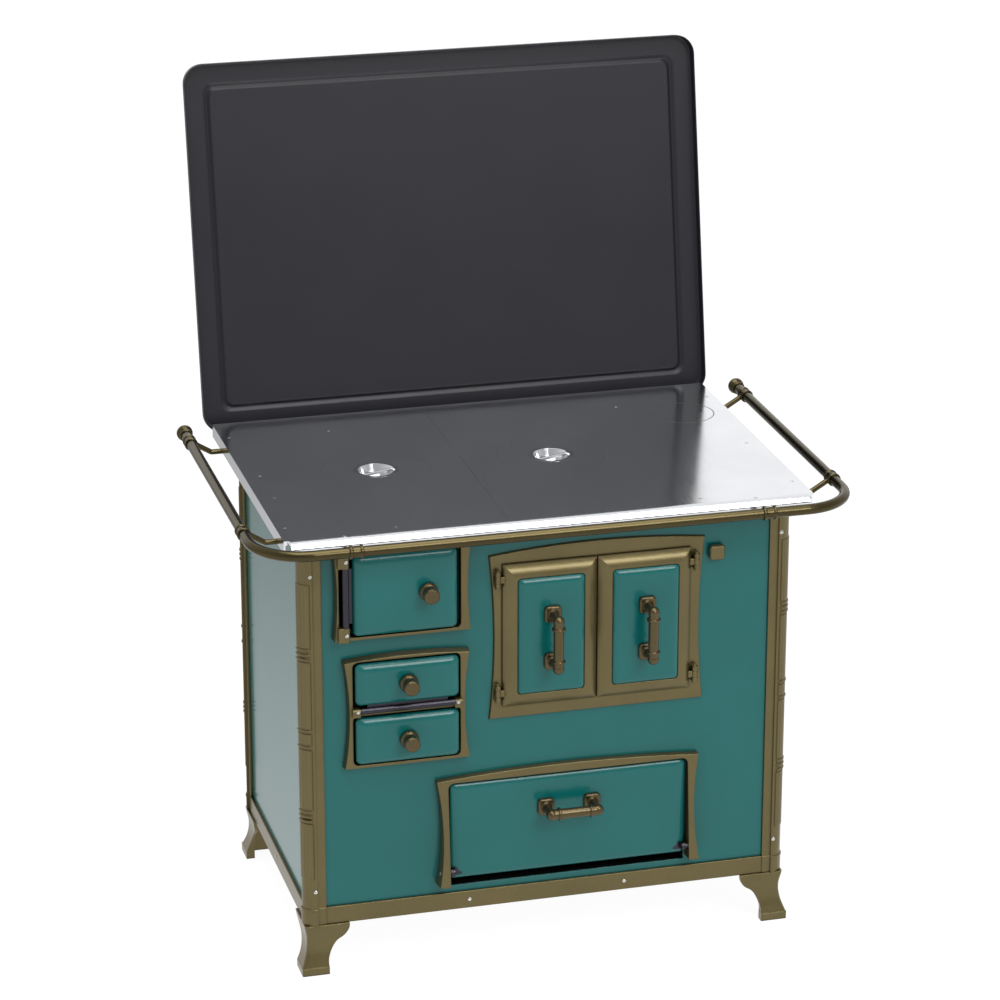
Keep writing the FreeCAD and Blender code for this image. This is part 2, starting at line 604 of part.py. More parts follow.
# Hob rings rest in the plate, plugs rest in the rings, the flue cover in the plate.
rings, plugs = [], []
seat_h = 2.4
for hx in HOB_X:
    c = V(hx, HOB_Y, TOP_Z - RING_T)
    ring = rod(RING_R, c, V(hx, HOB_Y, TOP_Z))
    ring = ring.cut(rod(PLUG_R + RING_GAP, V(hx, HOB_Y, TOP_Z - seat_h - 0.3), V(hx, HOB_Y, TOP_Z + 1)))
    ring = ring.cut(rod(PLUG_R - LEDGE, V(hx, HOB_Y, TOP_Z - 20), V(hx, HOB_Y, TOP_Z)))
    rings.append(ring)
    bowl_r = PLUG_R - LEDGE - GAP
    plug = rod(PLUG_R, V(hx, HOB_Y, TOP_Z - seat_h), V(hx, HOB_Y, TOP_Z))
    plug = plug.fuse(Part.makeCone(bowl_r - 4, bowl_r, 16, V(hx, HOB_Y, TOP_Z - seat_h - 16)))
    plug = plug.cut(Part.makeCone(bowl_r - 7, bowl_r - 1.5, 14.5, V(hx, HOB_Y, TOP_Z - 14.4)))
    bar_a = math.radians(20)
    dx, dy = (bowl_r - 1.0) * math.cos(bar_a), (bowl_r - 1.0) * math.sin(bar_a)
    bar = rod(3.2, V(hx - dx, HOB_Y - dy, TOP_Z - 5.0), V(hx + dx, HOB_Y + dy, TOP_Z - 5.0))
    plugs.append(plug.fuse(bar).removeSplitter())
node["hob_ring_left"], node["hob_ring_right"] = rings
node["plug_left"], node["plug_right"] = plugs
cover = rod(FLUE_COVER_R, V(cx, cy, TOP_Z - RING_T), V(cx, cy, TOP_Z))
cover = cover.cut(rod(3.0, V(cx + 35, cy, TOP_Z - 10), V(cx + 35, cy, TOP_Z + 1)))
node["flue_cover"] = cover

# Handrail, its supports with clamp collars, and its end knobs.
path = [V(-RAIL_X, RAIL_END, TOP_Z), V(-RAIL_X, RAIL_FRONT, TOP_Z),
        V(RAIL_X, RAIL_FRONT, TOP_Z), V(RAIL_X, RAIL_END, TOP_Z)]
node["handrail"] = sweep(path, RAIL_R, RAIL_BEND)

collar_prof = [(COLLAR_R - 1.5, -COLLAR_L / 2), (COLLAR_R, -COLLAR_L / 2 + 1.5),
               (COLLAR_R, -COLLAR_L / 2 + 4.5), (COLLAR_R - 1.8, -COLLAR_L / 2 + 6),
               (COLLAR_R - 1.8, COLLAR_L / 2 - 6), (COLLAR_R, COLLAR_L / 2 - 4.5),
               (COLLAR_R, COLLAR_L / 2 - 1.5), (COLLAR_R - 1.5, COLLAR_L / 2)]
arms = []
for s in (-1, 1):
    for y in ARM_SIDE_Y:
        c = turned(collar_prof, V(s * RAIL_X, y, TOP_Z), Y)
        x_in = SIDE_X if y > BEAD_CY + COL_FLANGE else OUT_X
        if y < BEAD_CY + COL_FLANGE or y > BODY_DEPTH - BEAD_CY - COL_FLANGE:
            x_in = SIDE_X + FLANGE_PROUD
        if y > BODY_DEPTH - BEAD_CY:
            x_in = BEAD_CX + math.sqrt(BEAD_R ** 2 - (y - BODY_DEPTH + BEAD_CY) ** 2)
        bar = sweep([V(s * (RAIL_X - RAIL_R + 2), y, TOP_Z - 3), V(s * ARM_KNEE, y, ARM_Z),
                     V(s * (x_in - 1), y, ARM_Z)], ARM_R, 8.0)
        arms.append((c, bar))
    c = turned(collar_prof, V(s * ARM_FRONT_X, RAIL_FRONT, TOP_Z), X)
    knee = TOP_FRONT - LID_OVER - 8
    bar = sweep([V(s * ARM_FRONT_X, RAIL_FRONT + RAIL_R - 2, TOP_Z - 3), V(s * ARM_FRONT_X, knee, ARM_Z),
                 V(s * ARM_FRONT_X, -0.0, ARM_Z)], ARM_R, 8.0)
    arms.append((c, bar))
supports = []
stops = union([node["column_front_right"], node["column_front_left"], node["column_rear_right"],
               node["column_rear_left"], node["side_panel_right"], node["side_panel_left"]])
for c, bar in arms:
    piece = c.fuse(bar).cut(node["handrail"])
    piece = piece.cut(stops)
    best = max(piece.Solids, key=lambda q: q.Volume)
    supports.append(best)
node["rail_supports"] = Part.makeCompound(supports)
finial_prof = [(RAIL_R + 1, 0), (RAIL_R + 3, 1.5), (RAIL_R + 3, 4), (RAIL_R - 0.5, 6), (RAIL_R - 0.5, 8),
               (RAIL_R + 2.5, 10), (RAIL_R + 5.5, 15), (RAIL_R + 5.5, 20), (RAIL_R + 2.5, 25), (4.0, 28)]
node["rail_finials"] = Part.makeCompound(
    [turned(finial_prof, V(s * RAIL_X, RAIL_END, TOP_Z), Y) for s in (-1, 1)])

# Lid, built closed over the cooktop and then opened about its pivot.
lx, ly0, ly1 = TOP_HALF + LID_OVER, TOP_FRONT - LID_OVER, TOP_BACK + LID_OVER
inner_z = TOP_Z + LID_LIFT


def lid_prism(inset, z0, z1, r):
    b = box(-lx + inset, lx - inset, ly0 + inset, ly1 - inset, z0, z1)
    return b.makeFillet(r, [e for e in b.Edges if abs(e.tangentAt(e.FirstParameter).z) > 0.9])


def level_edges(shape, z):
    return [e for e in shape.Edges
            if abs(e.BoundBox.ZMin - z) < 1e-4 and abs(e.BoundBox.ZMax - z) < 1e-4]


shell = lid_prism(0, inner_z - LID_RIM, inner_z + LID_T, LID_R)
shell = shell.makeFillet(6.0, level_edges(shell, inner_z + LID_T))
hollow = lid_prism(LID_T, inner_z - LID_RIM - 1, inner_z, LID_R - LID_T)
hollow = hollow.makeFillet(4.0, level_edges(hollow, inner_z))
shell = shell.cut(hollow)


def lid_ring(z0, z1, grow):
    """Solid of the pressed groove between two heights, made wider by grow on each side."""
    def taper(i0, i1):
        wires = []
        for i, z in ((i0, z0), (i1, z1)):
            r = max(LID_R - i * 0.45, 6.0)
            wires.append(rounded_wire(i - lx, lx - i, ly0 + i, ly1 - i, r, lambda u, v, z=z: V(u, v, z)))
        return Part.makeLoft(wires, True, True)
    near, far = LID_LINE_IN - grow, LID_LINE_IN + LID_LINE_W + grow
    return taper(near, near + LID_LINE_SLOPE).cut(taper(far, far - LID_LINE_SLOPE))


shell = shell.fuse(lid_ring(inner_z + LID_T, inner_z + LID_T + LID_LINE_H, LID_T * 0.7)).removeSplitter()
shell = shell.cut(lid_ring(inner_z, inner_z + LID_LINE_H, 0.0))
for s in (-1, 1):
    shell = shell.cut(box(s * HINGE_X - 20, s * HINGE_X + 20, ly1 - LID_T - 5, ly1 + 1,
                          inner_z - LID_RIM - 1, inner_z - 4))

leaf_parts, ear_parts = [], []
py, pz = LID_PIVOT.y, LID_PIVOT.z
for s in (-1, 1):
    a, b = s * HINGE_X - HINGE_LEAF / 2, s * HINGE_X + HINGE_LEAF / 2
    leaf = box(a, b, TOP_BACK + 1.2, ly1 - LID_T, pz, inner_z)
    foot_plate = box(a - 8, b + 8, TOP_BACK + 1.2, ly1 - LID_T - 2, inner_z - 3, inner_z)
    leaf = leaf.fuse([foot_plate, rod(HINGE_R, V(a, py, pz), V(b, py, pz))])
    leaf = leaf.cut(rod(PIN_R + RUN, V(a - 1, py, pz), V(b + 1, py, pz)))
    leaf_parts.append(leaf.cut(shell).removeSplitter())
    for e0 in (a - GAP - HINGE_LEAF * 0.7, b + GAP):
        e1 = e0 + HINGE_LEAF * 0.7
        ear = box(e0, e1, TOP_BACK, py, pz - HINGE_R, pz + HINGE_R)
        ear_parts.append(ear.fuse(rod(HINGE_R, V(e0, py, pz), V(e1, py, pz))))
    ear_parts.append(rod(PIN_R, V(a - GAP - 1, py, pz), V(b + GAP + 1, py, pz)))
for i in range(2):
    grp = ear_parts[i * 3:i * 3 + 3]
    ear_parts[i * 3] = union(grp)
node["lid_brackets"] = Part.makeCompound([ear_parts[0], ear_parts[3]])
leaves = Part.makeCompound(leaf_parts)
OPEN = -(90.0 + LID_LEAN)
for key, shp in (("lid_pan", shell), ("lid_hinge_leaves", leaves)):
    shp = shp.copy()
    shp.rotate(LID_PIVOT, X, OPEN)
    node[key] = shp

# Firebox door surround, door, knob and hinge.
sur = surround(**FIRE_SUR)
sur = sur.cut(rounded_plate(fx0, fx1, fz0, fz1, 1, -60, CORNER_R))
rx, ry = FIRE_ROD
lugs, pins = [], []
for lz0, lz1 in ((fz0 - 4, fz0 + ROD_END_GAP), (fz1 - ROD_END_GAP, fz1 + 2)):
    lug = box(rx - 14, rx + 5, ry - 5, -FIRE_SUR["depth"] + 6, lz0, lz1)
    lug = lug.fuse(rod(7.0, V(rx, ry, lz0), V(rx, ry, lz1)))
    lugs.append(lug)
sur = sur.fuse(lugs).removeSplitter()
pin = rod(PIN_R, V(rx, ry, fz0 + 1), V(rx, ry, fz1 - 1))
node["firebox_surround"] = sur.cut(pin)
heads = []
for z in (fz0 + 10, fz1 - 10):
    heads.append(turned([(3.6, 0), (3.6, 1.2), (2.0, 2.4)], V(rx, ry - 7.0, z), -Y)
                 .fuse(rod(1.6, V(rx, ry - 7.0, z), V(rx, ry, z))))
firebox_pin = pin.fuse(heads).removeSplitter()
node["firebox_hinge_pin"] = firebox_pin
node["firebox_surround"] = node["firebox_surround"].cut(firebox_pin)

dx0, dx1, dz0, dz1 = FIRE_DOOR
face_y = -FIRE_SUR["depth"]
door = pillow(dx0, dx1, dz0, dz1, face_y, face_y - PILLOW_EDGE, face_y - PILLOW_T)
node["firebox_door_panel"] = door
liner = rounded_plate(dx0 + 4, dx1 - 4, dz0 + 5, dz1 - 5, -8, face_y, CORNER_R)
rod_z0, rod_z1 = fz0 + ROD_END_GAP + GAP, fz1 - ROD_END_GAP - GAP
barrel = rod(ROD_R, V(rx, ry, rod_z0), V(rx, ry, rod_z1))
web = box(rx, dx0 + 8, face_y + 0.5, face_y + 3.5, rod_z0 + 4, rod_z1 - 4)
barrel = barrel.fuse(box(rx - 3, rx + 3, ry, face_y + 3.5, rod_z0 + 4, rod_z1 - 4))
liner = liner.fuse([barrel, web]).removeSplitter()
liner = liner.cut(rod(PIN_R + RUN, V(rx, ry, rod_z0 - 1), V(rx, ry, rod_z1 + 1)))
kx, kz = FIRE_KNOB
spindle = rod(4.0, V(kx, face_y - PILLOW_T, kz), V(kx, -12, kz))
node["firebox_door_panel"] = door.cut(spindle)
liner = liner.cut(spindle)
node["firebox_door_liner"] = liner
node["firebox_knob"] = knob(kx, face_y - PILLOW_T, kz).fuse(spindle).removeSplitter()

# Air flap and ash drawer in one surround.
sur = surround(**SMALL_SUR)
sur = sur.cut(rounded_plate(sm_x0, sm_x1, ASH_Z[0] - SMALL_GAP, CROSS_Z[0], 1, -60, CORNER_R))
sur = sur.cut(rounded_plate(sm_x0, sm_x1, CROSS_Z[1], FLAP_Z[1] + 2.5, 1, -60, CORNER_R))
sry, srz = SMALL_ROD
ends = []
for a, b in ((sm_x0 - 2, SMALL_ROD_X[0] - GAP), (SMALL_ROD_X[1] + GAP, sm_x1 + 2)):
    ends.append(box(a, b, -SMALL_SUR["depth"] + 1 - 8, -SMALL_SUR["depth"] + 8, CROSS_Z[0], srz + 4)
                .fuse(rod(5.0, V(a, sry, srz), V(b, sry, srz))))
sur = sur.fuse(ends).removeSplitter()
pin = rod(PIN_R, V(sm_x0 - 1, sry, srz), V(sm_x1 + 1, sry, srz))
caps = []
for x in (SMALL_ROD_X[0] - 6, SMALL_ROD_X[1] + 6):
    caps.append(turned([(3.4, 0), (3.4, 1.2), (2.0, 2.4)], V(x, sry - 5.0, srz), -Y)
                .fuse(rod(1.6, V(x, sry - 5.0, srz), V(x, sry, srz))))
small_pin = pin.fuse(caps).removeSplitter()
node["small_surround"] = sur.cut(small_pin)
node["air_flap_hinge_pin"] = small_pin

sface = -SMALL_SUR["depth"]
flap = pillow(SMALL_X[0], SMALL_X[1], FLAP_Z[0], FLAP_Z[1], sface, sface - PILLOW_EDGE, sface - PILLOW_T)
tube = rod(ROD_R, V(SMALL_ROD_X[0], sry, srz), V(SMALL_ROD_X[1], sry, srz))
web = box(SMALL_ROD_X[0] + 12, SMALL_ROD_X[1] - 12, sface - 3.5, sface, srz + 2, FLAP_Z[0] + 6)
flap = flap.fuse([tube, web]).removeSplitter()
flap = flap.cut(rod(PIN_R + RUN, V(sm_x0, sry, srz), V(sm_x1, sry, srz)))
skx = (SMALL_X[0] + SMALL_X[1]) / 2
fkz, akz = (FLAP_Z[0] + FLAP_Z[1]) / 2, (ASH_Z[0] + ASH_Z[1]) / 2
sp_flap = rod(4.0, V(skx, sface - PILLOW_T, fkz), V(skx, sface + 3, fkz))
sp_ash = rod(4.0, V(skx, sface - PILLOW_T, akz), V(skx, sface + 3, akz))
node["air_flap_panel"] = flap.cut(sp_flap)
node["air_flap_knob"] = knob(skx, sface - PILLOW_T, fkz).fuse(sp_flap).removeSplitter()
ash = pillow(SMALL_X[0], SMALL_X[1], ASH_Z[0], ASH_Z[1], sface, sface - PILLOW_EDGE, sface - PILLOW_T)
node["ash_drawer_front"] = ash.cut(sp_ash)
node["ash_drawer_knob"] = knob(skx, sface - PILLOW_T, akz).fuse(sp_ash).removeSplitter()
tray_t = 1.5
tx0, tx1 = SMALL_X[0] + 6, SMALL_X[1] - 6
tray = box(tx0, tx1, sface, ASH_LEN, ASH_Z[0] + 3, ASH_Z[1] - 8)
tray = tray.cut(box(tx0 + tray_t, tx1 - tray_t, sface + tray_t, ASH_LEN - tray_t, ASH_Z[0] + 3 + tray_t,
                    ASH_Z[1]))
node["ash_drawer_box"] = tray.cut(sp_ash)

# Firebox shell with runners for the drawer, ledges for the grate, liner bricks and grate.
bx0, bx1 = BOX_X
shell = box(bx0, bx1, SHEET, BOX_LEN, BOX_Z[0], BOX_Z[1])
shell = shell.cut(box(bx0 + SHEET, bx1 - SHEET, SHEET - 1, BOX_LEN - SHEET, BOX_Z[0] + SHEET, BOX_Z[1] + 1))
extra = []
for a, b in ((bx0 + SHEET, bx0 + SHEET + 12), (bx1 - SHEET - 12, bx1 - SHEET)):
    extra.append(box(a, b, SHEET + 20, BOX_LEN - SHEET, GRATE_Z - 4, GRATE_Z))
for x in (tx0 + 12, tx1 - 12):
    extra.append(box(x - 6, x + 6, SHEET + 4, BOX_LEN - SHEET, BOX_Z[0] + SHEET, ASH_Z[0] + 3 - GAP))
node["firebox_shell"] = union([shell] + extra)
gx0, gx1 = bx0 + SHEET + 1, bx1 - SHEET - 1
gy0, gy1 = SHEET + 20, BOX_LEN - SHEET - 1
grate = box(gx0, gx1, gy0, gy1, GRATE_Z, GRATE_Z + GRATE_T)
n_bar = 9
pitch = (gx1 - gx0 - 50) / n_bar
for i in range(n_bar):
    for half in (0, 1):
        a = gy0 + 30 + half * (gy1 - gy0 - 40) / 2
        b = a + (gy1 - gy0 - 60) / 2 - 10
        grate = grate.cut(box(gx0 + 25 + i * pitch + 4, gx0 + 25 + (i + 1) * pitch - 4, a, b,
                              GRATE_Z - 1, GRATE_Z + GRATE_T + 1))
node["grate"] = grate
bz0, bz1 = GRATE_Z + GRATE_T, BOX_Z[1] - 10
bricks = [box(gx0, gx0 + BRICK - 9, gy0 + 10, gy1 - BRICK - 1, bz0, bz1),
          box(gx1 - BRICK, gx1, gy0 + 10, gy1 - BRICK - 1, bz0, bz1),
          box(gx0, gx1, gy1 - BRICK, gy1, bz0, bz1)]
node["firebox_bricks"] = Part.makeCompound(bricks)

# Oven surround with cast hinge lugs.
sur = surround(**OVEN_SUR)
sur = sur.cut(box(ov_x0, ov_x1, -60, 1, ov_z0, ov_z1))
dl0, dl1 = OVEN_SPLIT - OVEN_DOOR_W, OVEN_SPLIT - OVEN_JOIN
dr0, dr1 = OVEN_SPLIT + OVEN_JOIN, OVEN_SPLIT + OVEN_DOOR_W
axis_l, axis_r = dl0 - OVEN_AXIS_OUT, dr1 + OVEN_AXIS_OUT
hinge_z = (OVEN_DOOR_Z[0] + OVEN_HINGE_IN, OVEN_DOOR_Z[1] - OVEN_HINGE_IN)
for ax in (axis_l, axis_r):
    for hz in hinge_z:
        h = KNUCKLE_H / 2 + 0.4
        lug_set = []
        for z0, z1 in ((hz - h - LUG_H, hz - h), (hz + h, hz + h + LUG_H)):
            lug_set.append(rod(KNUCKLE_R, V(ax, OVEN_AXIS_Y, z0), V(ax, OVEN_AXIS_Y, z1)))
            lug_set.append(box(ax - 4, ax + 4, OVEN_AXIS_Y, OVEN_FACE + 1, z0, z1))
        lug_set.append(rod(PIN_R, V(ax, OVEN_AXIS_Y, hz - h - 1), V(ax, OVEN_AXIS_Y, hz + h + 1)))
        lug_set.append(rod(3.4, V(ax, OVEN_AXIS_Y, hz + h + LUG_H), V(ax, OVEN_AXIS_Y, hz + h + LUG_H + 3)))
        sur = sur.fuse(lug_set)
node["oven_surround"] = sur.removeSplitter()


# Oven doors: mitred convex frame, raised panel and a two-post handle.
def handle(base, along, span, y_face):
    """Handle with two posts; base is its middle on the face, along its grip direction."""
    pieces = []
    out = V(0, -1, 0)
    g = base.add(V(0, -HANDLE_OUT, 0))
    for s in (-1, 1):
        p = base.add(V(along).multiply(s * span / 2))
        rose = rounded_plate(p.x - ROSE / 2, p.x + ROSE / 2, p.z - ROSE / 2, p.z + ROSE / 2,
                             y_face, y_face - ROSE_T, 7.0)
        pieces.append(rose.makeFillet(3.5, front_edges(rose, y_face - ROSE_T)))
        pieces.append(turned([(POST_R + 2, ROSE_T - 1), (POST_R + 2, ROSE_T + 1), (POST_R, ROSE_T + 4),
                              (POST_R - 1, HANDLE_OUT * 0.6), (POST_R, HANDLE_OUT)], p, out))
        tip = g.add(V(along).multiply(s * span / 2))
        pieces.append(Part.makeSphere(GRIP_R + 0.4, tip, along))
        ring = g.add(V(along).multiply(s * (span / 2 - 14)))
        collar = [(GRIP_R - 0.5, -2.5), (GRIP_R + 2.4, -1.5), (GRIP_R + 2.4, 1.5), (GRIP_R - 0.5, 2.5)]
        pieces.append(turned(collar, ring, along))
    a = g.add(V(along).multiply(-span / 2))
    b = g.add(V(along).multiply(span / 2))
    pieces.append(rod(GRIP_R - 0.5, a, b))
    return union(pieces)


def oven_door(x0, x1, ax, side):
    z0, z1 = OVEN_DOOR_Z
    yb = OVEN_FACE - OVEN_STAND
    ye = yb - OVEN_EDGE
    yf = ye - OVEN_RISE
    b = OVEN_BORDER
    frame = box(x0, x1, ye, yb, z0, z1)
    frame = frame.fuse(rolled(x0, x1, z0, z1, ye, yf, b, 0, True)).removeSplitter()
    frame = frame.cut(rounded_plate(x0 + b, x1 - b, z0 + b, z1 - b, yb - 3, yf - 20, 7.0))
    arms = []
    for hz in hinge_z:
        h = KNUCKLE_H / 2
        arms.append(rod(KNUCKLE_R, V(ax, OVEN_AXIS_Y, hz - h), V(ax, OVEN_AXIS_Y, hz + h)))
        xe = x0 + 3 if side < 0 else x1 - 3
        arms.append(box(min(ax, xe), max(ax, xe), OVEN_AXIS_Y - 1.5, OVEN_AXIS_Y + 4.5, hz - h, hz + h))
    frame = frame.fuse(arms).removeSplitter()
    for hz in hinge_z:
        frame = frame.cut(rod(PIN_R + RUN, V(ax, OVEN_AXIS_Y, hz - 20), V(ax, OVEN_AXIS_Y, hz + 20)))
    c = 0.6
    py0 = yf - OVEN_PILLOW_OUT
    panel = pillow(x0 + b + c, x1 - b - c, z0 + b + c, z1 - b - c, yb - 3, yf + 2, py0, OVEN_PILLOW_W,
                   7.0)
    seal = box(x0 + b + 6, x1 - b - 6, yb, yb + 7, z0 + b + 6, z1 - b - 6)
    seal = seal.cut(box(x0 + b + 14, x1 - b - 14, yb - 1, yb + 8, z0 + b + 14, z1 - b - 14))
    hnd = handle(V((x0 + x1) / 2, py0, (z0 + z1) / 2 - 3), Z, HANDLE_SPAN, py0)
    return frame.fuse(seal).removeSplitter(), panel, hnd


for name, x0, x1, ax, s in (("left", dl0, dl1, axis_l, -1), ("right", dr0, dr1, axis_r, 1)):
    fr, pn, hn = oven_door(x0, x1, ax, s)
    node["oven_door_frame_" + name] = fr
    node["oven_door_panel_" + name] = pn
    node["oven_door_handle_" + name] = hn

# Oven box and rack.
g = OVEN_BOX_GAP
obx = box(ov_x0 - g, ov_x1 + g, SHEET, OVEN_DEPTH, ov_z0 - g, ov_z1 + g)
obx = obx.cut(box(ov_x0 - g + SHEET, ov_x1 + g - SHEET, SHEET - 1, OVEN_DEPTH - SHEET, ov_z0 - g + SHEET,
                  ov_z1 + g - SHEET))
rack_z = (ov_z0 + ov_z1) / 2
rails = []
for a, b in ((ov_x0 - g + SHEET, ov_x0 - g + SHEET + 8), (ov_x1 + g - SHEET - 8, ov_x1 + g - SHEET)):
    for z in (rack_z, rack_z - 60, rack_z + 50):
        rails.append(box(a, b, 30, OVEN_DEPTH - SHEET - 10, z - 3, z))
node["oven_box"] = union([obx] + rails)
rr = 2.5
wx0, wx1 = ov_x0 - g + SHEET + 3, ov_x1 + g - SHEET - 3
wy0, wy1 = 40.0, OVEN_DEPTH - SHEET - 14
wires = [rod(rr, V(wx0, y, rack_z + rr), V(wx1, y, rack_z + rr)) for y in (wy0, (wy0 + wy1) / 2, wy1)]
n_wire = 15
for i in range(n_wire):
    x = wx0 + rr + i * (wx1 - wx0 - 2 * rr) / (n_wire - 1)
    wires.append(rod(rr - 0.5, V(x, wy0, rack_z + 2 * rr - 0.5), V(x, wy1, rack_z + 2 * rr - 0.5)))
node["oven_rack"] = union(wires)

# Wood box surround with wedge cheeks, its flap, handle and lining.
sur = surround(**WOOD_SUR)
wd = WOOD_SUR["depth"]
z_lo, z_hi = WOOD_SUR["z0"] - 5, WOOD_SUR["z1"] + WOOD_SUR["arch"] + 5
slope = (wd - WOOD_TOP_DEPTH) / (WOOD_SUR["z1"] - WOOD_SUR["z0"])
wedge_pts = [V(-600, -wd + (z_lo - WOOD_SUR["z0"]) * slope, z_lo), V(-600, -wd - 20, z_lo),
             V(-600, -wd - 20, z_hi), V(-600, -wd + (z_hi - WOOD_SUR["z0"]) * slope, z_hi)]
wedge = Part.Face(Part.makePolygon(wedge_pts + wedge_pts[:1])).extrude(V(1200, 0, 0))
sur = sur.cut(wedge)
sur = sur.cut(rounded_plate(wcx - WOOD_HALF, wcx + WOOD_HALF, WOOD_SUR["z0"] - 40, WOOD_PANEL_Z[1] + 3,
                            1, -60, WOOD_CORNER))
way, waz = WOOD_AXIS
wp = []
for s in (-1, 1):
    xo = wcx + s * (WOOD_SUR["hw"] - 8)
    xi = wcx + s * (WOOD_PANEL_HALF - 7)
    wp.append(rod(PIN_R, V(xi, way, waz), V(xo, way, waz)))
for p in wp:
    sur = sur.cut(p)
node["wood_surround"] = sur
pin_solids = []
for s, p in zip((-1, 1), wp):
    xo = wcx + s * (WOOD_SUR["hw"] - 8)
    head = turned([(4.5, 0), (4.5, 3.0), (2.5, 4.0)], V(xo, way, waz), V(s, 0, 0))
    pin_solids.append(p.fuse(head).removeSplitter())
node["wood_surround"] = node["wood_surround"].cut(pin_solids[0]).cut(pin_solids[1])
wy_f, wy_b = WOOD_PANEL_Y
wx0p, wx1p = wcx - WOOD_PANEL_HALF, wcx + WOOD_PANEL_HALF
wpan = pillow(wx0p, wx1p, WOOD_PANEL_Z[0], WOOD_PANEL_Z[1], wy_b, wy_b - 2, wy_f, WOOD_PANEL_W, 9.0)
wpan = wpan.cut(box(wx0p + 9, wx1p - 9, wy_f + 3, wy_b + 1, WOOD_PANEL_Z[0] + 30, WOOD_PANEL_Z[1] - 9))
for s in (-1, 1):
    x_a = wcx + s * (WOOD_PANEL_HALF - 8)
    x_b = wcx + s * WOOD_PANEL_HALF
    wpan = wpan.fuse(rod(7.5, V(x_a, way, waz), V(x_b, way, waz)))
wpan = wpan.removeSplitter()
wpan = wpan.cut(rod(PIN_R + RUN, V(wx0p - 1, way, waz), V(wx0p + 9, way, waz)))
wpan = wpan.cut(rod(PIN_R + RUN, V(wx1p - 9, way, waz), V(wx1p + 1, way, waz)))
node["wood_flap_panel"] = wpan
node["wood_flap_handle"] = handle(V(wcx, wy_f, WOOD_HANDLE_Z), X, WOOD_HANDLE_SPAN, wy_f)
wb0, wb1 = wcx - WOOD_HALF + 2, wcx + WOOD_HALF - 2
wbz1 = WOOD_PANEL_Z[1] + 3 + SHEET
wbx = box(wb0 - SHEET, wb1 + SHEET, SHEET, WOOD_DEPTH, WOOD_FLOOR, wbz1)
wbx = wbx.cut(box(wb0, wb1, SHEET - 1, WOOD_DEPTH - SHEET, WOOD_FLOOR + SHEET, wbz1 - SHEET))
node["wood_box"] = wbx

# Flue spigot, and the damper: a plate on a rod with a square knob.
spig = rod(FLUE_R, V(FLUE[0], BODY_DEPTH - SHEET, FLUE[1]), V(FLUE[0], BODY_DEPTH + FLUE_L, FLUE[1]))
flg = rod(FLUE_R + 16, V(FLUE[0], BODY_DEPTH, FLUE[1]), V(FLUE[0], BODY_DEPTH + 3, FLUE[1]))
spig = spig.fuse(flg).removeSplitter()
spig = spig.cut(rod(FLUE_R - 2, V(FLUE[0], BODY_DEPTH - 9, FLUE[1]), V(FLUE[0], BODY_DEPTH + 99, FLUE[1])))
node["flue_spigot"] = spig
dxk, dzk = DAMPER
hs = DAMPER_SQ / 2
kn = rounded_plate(dxk - hs, dxk + hs, dzk - hs, dzk + hs, -4, -15, 4.0)
kn = kn.makeChamfer(2.0, front_edges(kn, -15))
kn = kn.fuse(rod(8.0, V(dxk, -4.0, dzk), V(dxk, -GAP, dzk)))
blade_y = BODY_DEPTH - 16
rod_s = rod(DAMPER_ROD_R, V(dxk, -10, dzk), V(dxk, blade_y, dzk))
blade = box(FLUE[0] - FLUE_R + 2, FLUE[0] + FLUE_R - 2, blade_y - BLADE_T, blade_y, FLUE[1] - FLUE_R + 2,
            FLUE[1] + FLUE_R - 2)
node["damper_knob"] = kn.cut(rod_s).removeSplitter()
node["damper_rod"] = rod_s.fuse(blade).removeSplitter()

node["screws"] = Part.makeCompound(screws + top_screws + pin_solids)

# The row's origin is the middle of the whole object's footprint, on the floor.
front_most = RAIL_FRONT - COLLAR_R
names = sorted(node)
back_most = node["lid_pan"].optimalBoundingBox(False).YMax
y_mid = (front_most + back_most) / 2
for name in names:
    shape = node[name].copy()
    shape.translate(V(0, -y_mid, 0))
    shape.exportStep("parts/" + name + ".step")
print(len(names), "nodes, y_mid", round(y_mid, 3), "lid top", round(back_most, 2))
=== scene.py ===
import math

import bpy
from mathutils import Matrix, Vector


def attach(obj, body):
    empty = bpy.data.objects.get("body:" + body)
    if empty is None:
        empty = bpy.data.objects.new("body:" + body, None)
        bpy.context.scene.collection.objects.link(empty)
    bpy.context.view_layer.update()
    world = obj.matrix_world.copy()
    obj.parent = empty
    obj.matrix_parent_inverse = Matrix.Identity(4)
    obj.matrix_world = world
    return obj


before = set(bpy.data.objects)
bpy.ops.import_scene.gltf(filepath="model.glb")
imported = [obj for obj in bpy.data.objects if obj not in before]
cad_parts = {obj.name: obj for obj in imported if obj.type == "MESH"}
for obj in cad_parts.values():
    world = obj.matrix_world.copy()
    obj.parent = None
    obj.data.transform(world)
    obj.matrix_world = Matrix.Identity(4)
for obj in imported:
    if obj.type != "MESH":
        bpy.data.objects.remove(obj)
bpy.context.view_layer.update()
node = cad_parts
scene = bpy.context.scene
scene.view_settings.view_transform = "Standard"
scene.view_settings.look = "None"


